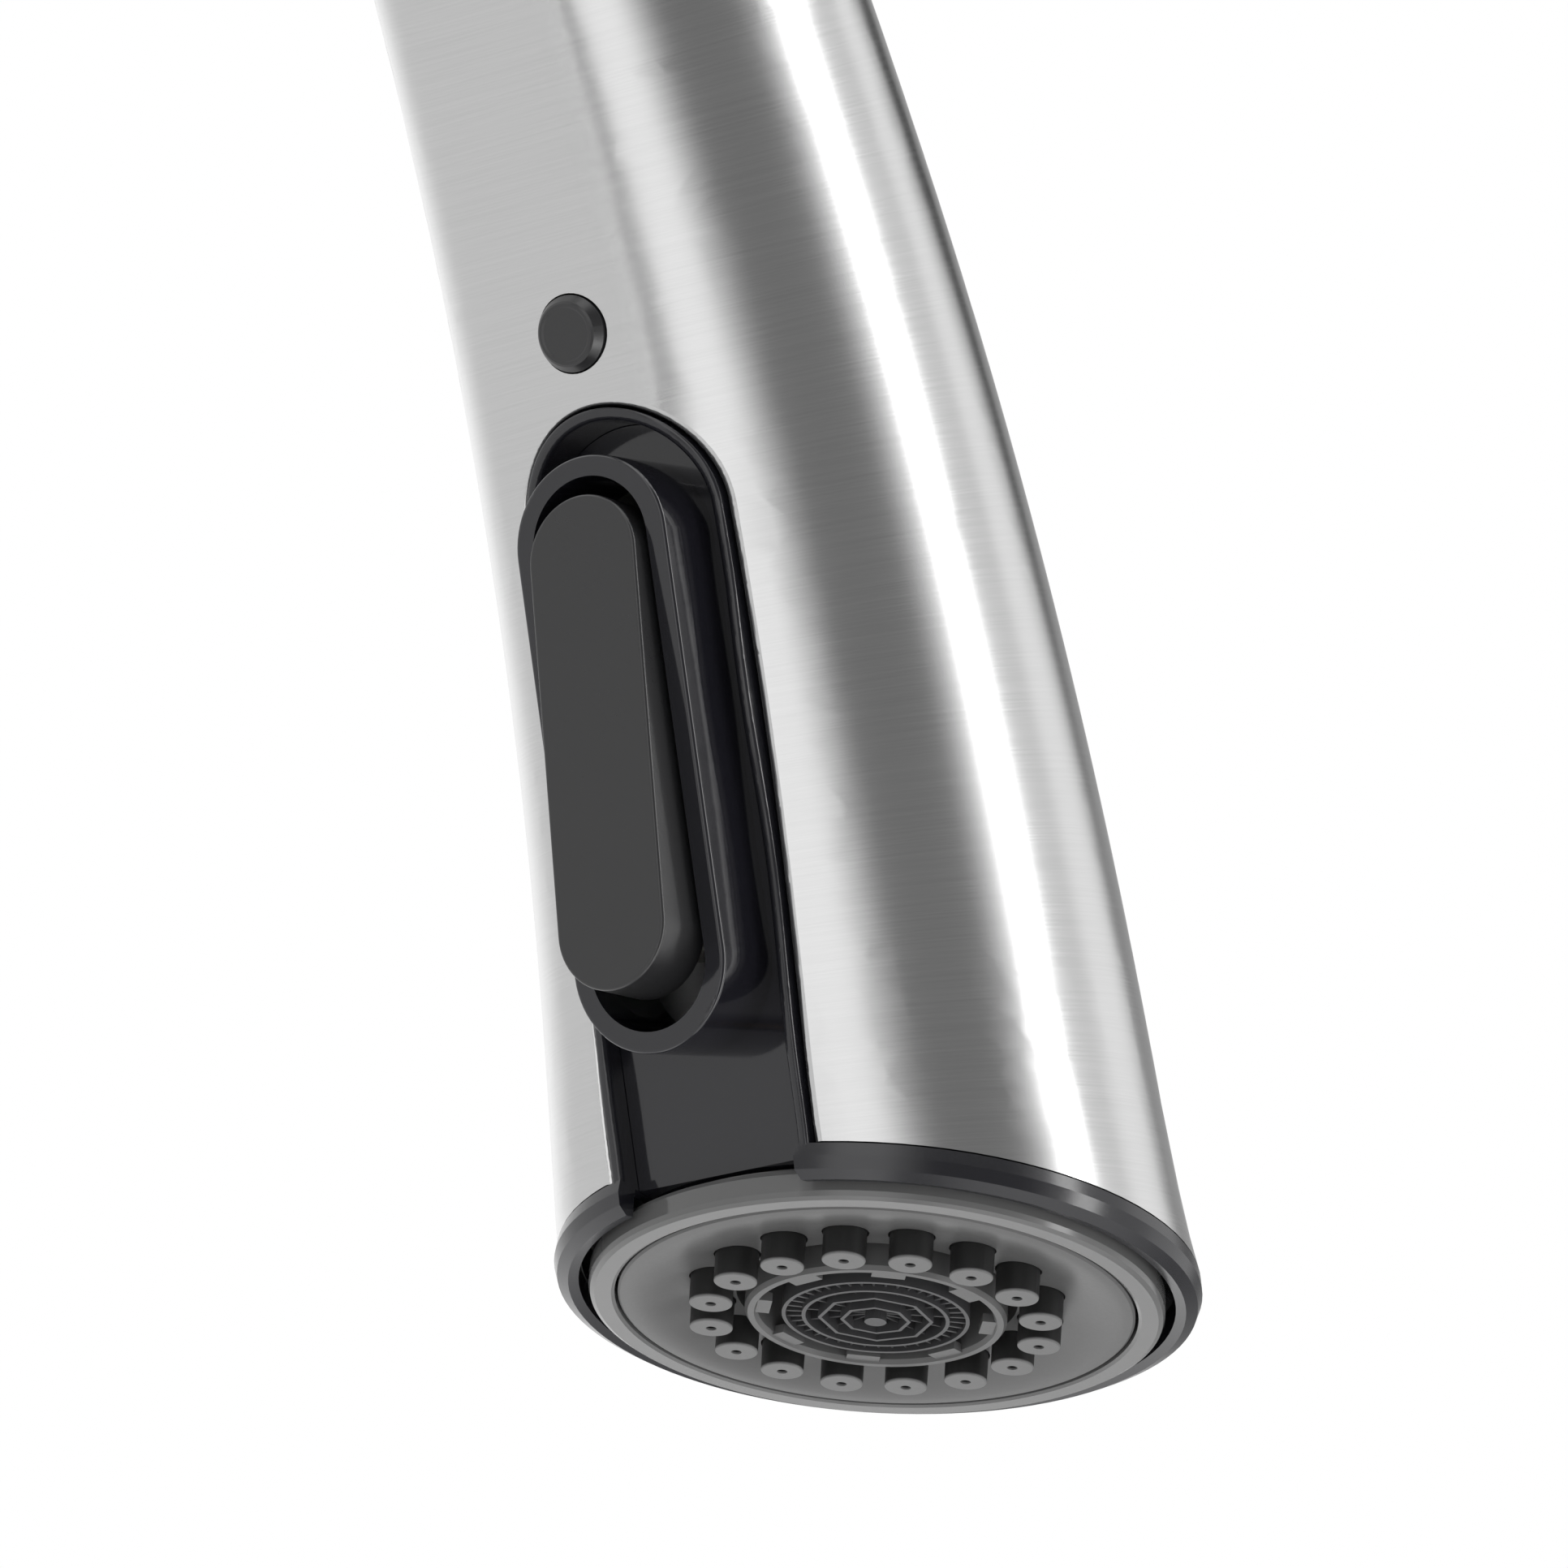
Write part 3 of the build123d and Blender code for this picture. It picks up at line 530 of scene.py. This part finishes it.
class HoseSettings(bpy.types.PropertyGroup):
    radius: FloatProperty(
        name="Radius", description="Outside radius of the sleeve", default=5.5 * MM, unit="LENGTH")
    foot: FloatProperty(name="Foot", description="Height of its lower end", default=-62.0 * MM, unit="LENGTH")
    sides: IntProperty(name="Sides", description="Faces round the hose", default=40, min=12)


class FAUCET_OT_hose(bpy.types.Operator):
    """Braided pull-out hose, up the riser, over the arch and into the spray head"""
    bl_idname = "faucet.hose"
    bl_label = "Hose"

    def tube(self, name, start, turn):
        """Circle across the hose, in edit mode and ready to be extruded."""
        settings = bpy.context.scene.faucet_hose
        bpy.ops.object.select_all(action="DESELECT")
        bpy.ops.mesh.primitive_circle_add(vertices=settings.sides, radius=settings.radius)
        hose = bpy.context.object
        hose.name = name
        settle(hose, turn, start)
        bpy.ops.object.mode_set(mode="EDIT")
        bpy.ops.mesh.select_all(action="SELECT")
        return hose

    def advance(self, step, steps):
        for _ in range(steps):
            bpy.ops.mesh.extrude_edges_move(TRANSFORM_OT_translate={"value": tuple(step / steps)})

    def close(self, hose):
        bpy.ops.mesh.select_all(action="DESELECT")
        bpy.ops.mesh.select_non_manifold()
        bpy.ops.mesh.fill_holes(sides=0)
        bpy.ops.mesh.select_all(action="SELECT")
        bpy.ops.mesh.remove_doubles(threshold=0.00001)
        bpy.ops.mesh.normals_make_consistent(inside=False)
        bpy.ops.object.mode_set(mode="OBJECT")
        smooth(hose)

    def execute(self, context):
        settings = context.scene.faucet_hose
        sleeve = braid("hose_sleeve")
        upright = Matrix.Identity(3)
        run = self.tube("hose_run", Vector((0, 0, settings.foot)), upright)
        self.advance(Vector((0, 0, ARCH_Z - settings.foot)), RISER_STEPS)
        bpy.ops.mesh.spin(
            steps=ARCH_STEPS, angle=pi - DOCK_TILT, center=(0, -ARCH_R, ARCH_Z), axis=(-1, 0, 0))
        self.close(run)
        finish_piece(run, sleeve, "spout", "hose_braid", "pull_hose")

        top = SEAM + DOCK_AXIS * DOCK_STRAIGHT
        end = SEAM - DOCK_AXIS * PAST_SEAM * MM
        reach = self.tube("hose_reach", top, Matrix.Rotation(-DOCK_TILT, 3, "X"))
        self.advance(end - top, REACH_STEPS)
        self.close(reach)
        finish_piece(reach, sleeve, None, "hose_braid", "pull_hose")
        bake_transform(reach)
        return {"FINISHED"}


# Rings of bars in millimetres: inner and outer radius, underside and thickness.
OUTER_BARS = (5.65, 7.1, 0.95, 0.2)
INNER_BARS = (0.8, 5.5, 1.05, 0.16)
BAR_TOP = 2.1
BAR_BEVEL = 0.04


class SpokeSettings(bpy.types.PropertyGroup):
    outer_count: IntProperty(name="Outer bars", description="Bars in the outer ring", default=40, min=8)
    inner_count: IntProperty(name="Inner bars", description="Bars round the boss", default=16, min=4)


class FAUCET_OT_spokes(bpy.types.Operator):
    """Fine radial bars between the rings of the aerator's flow former"""
    bl_idname = "faucet.spokes"
    bl_label = "Aerator spokes"

    def execute(self, context):
        settings = context.scene.faucet_spokes
        bars = []
        for count, ring in ((settings.outer_count, OUTER_BARS), (settings.inner_count, INNER_BARS)):
            inner, outer, low, width = ring
            middle = ((inner + outer) / 2 * MM, 0, (low + BAR_TOP) / 2 * MM)
            for k in range(count):
                bpy.ops.object.select_all(action="DESELECT")
                bpy.ops.mesh.primitive_cube_add(size=MM, location=middle)
                bar = context.object
                bar.scale = (outer - inner, width, BAR_TOP - low)
                bpy.ops.object.transform_apply(location=True, rotation=True, scale=True)
                bpy.ops.object.mode_set(mode="EDIT")
                bpy.ops.mesh.select_all(action="SELECT")
                bpy.ops.mesh.bevel(offset=BAR_BEVEL * MM, segments=1)
                bpy.ops.object.mode_set(mode="OBJECT")
                settle(bar, Matrix.Rotation(2 * pi * (k + 0.5) / count, 3, "Z"), TIP)
                bars.append(bar)
        spokes = joined(bars, "aerator_spokes")
        finish_piece(spokes, moulded("spoke_black", (0.06, 0.06, 0.062), 0.35), "spray_head", "soft_black")
        return {"FINISHED"}


# The shank in millimetres; the thread stops a little short of both its ends.
CREST_R = 16.4
BORE_R = 14.8
SHOULDER_R = 17.0
SHOULDER_Z = 12.0
PLAIN_END = 1.0


class ThreadSettings(bpy.types.PropertyGroup):
    pitch: FloatProperty(
        name="Pitch", description="Distance between threads", default=1.5 * MM, unit="LENGTH")
    depth: FloatProperty(name="Depth", description="Depth of the threads", default=0.75 * MM, unit="LENGTH")


class FAUCET_OT_thread(bpy.types.Operator):
    """Threaded shank under the deck"""
    bl_idname = "faucet.thread"
    bl_label = "Shank thread"

    def execute(self, context):
        settings = context.scene.faucet_thread
        low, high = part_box("shank")[0][2] / MM, 0.0
        root = CREST_R - settings.depth / MM
        pitch = settings.pitch / MM
        turns = int((high - low - 2 * PLAIN_END) / pitch)
        outline = [(BORE_R, SHOULDER_Z), (SHOULDER_R, SHOULDER_Z), (SHOULDER_R, high), (CREST_R, high)]
        for k in range(turns):
            top = high - PLAIN_END - k * pitch
            outline += [(CREST_R, top), (root, top - 0.35 * pitch), (root, top - 0.5 * pitch),
                        (CREST_R, top - 0.85 * pitch)]
        outline += [(CREST_R, low + 0.5), (CREST_R - 0.6, low), (BORE_R, low)]
        shank = turned_ring("threaded_shank", outline, 96)
        smooth(shank, 30.0)
        finish_piece(shank, metal("shank_brass", BRASS, along_z), "base", "brass", "shank")
        return {"FINISHED"}


OPERATORS = [FAUCET_OT_stage, FAUCET_OT_finishes, FAUCET_OT_hose, FAUCET_OT_thread, FAUCET_OT_spokes]


class FAUCET_PT_panel(bpy.types.Panel):
    bl_idname = "FAUCET_PT_panel"
    bl_label = "Faucet"
    bl_space_type = "VIEW_3D"
    bl_region_type = "UI"
    bl_category = "Faucet"

    def draw(self, context):
        for name, _ in SETTINGS:
            for key in getattr(context.scene, name).bl_rna.properties.keys():
                if key not in {"rna_type", "name"}:
                    self.layout.prop(getattr(context.scene, name), key)
        for operator in OPERATORS:
            self.layout.operator(operator.bl_idname)


SETTINGS = [
    ("faucet_stage", StageSettings),
    ("faucet_hose", HoseSettings),
    ("faucet_thread", ThreadSettings),
    ("faucet_spokes", SpokeSettings),
]
CLASSES = [group for _, group in SETTINGS] + OPERATORS + [FAUCET_PT_panel]


def register():
    for one in CLASSES:
        bpy.utils.register_class(one)
    for name, group in SETTINGS:
        setattr(bpy.types.Scene, name, PointerProperty(type=group))


def unregister():
    for name, _ in SETTINGS:
        delattr(bpy.types.Scene, name)
    for one in reversed(CLASSES):
        bpy.utils.unregister_class(one)


def main():
    register()
    bpy.ops.faucet.stage()
    bpy.ops.faucet.finishes()
    bpy.ops.faucet.hose()
    bpy.ops.faucet.thread()
    bpy.ops.faucet.spokes()


if __name__ == "__main__":
    main()
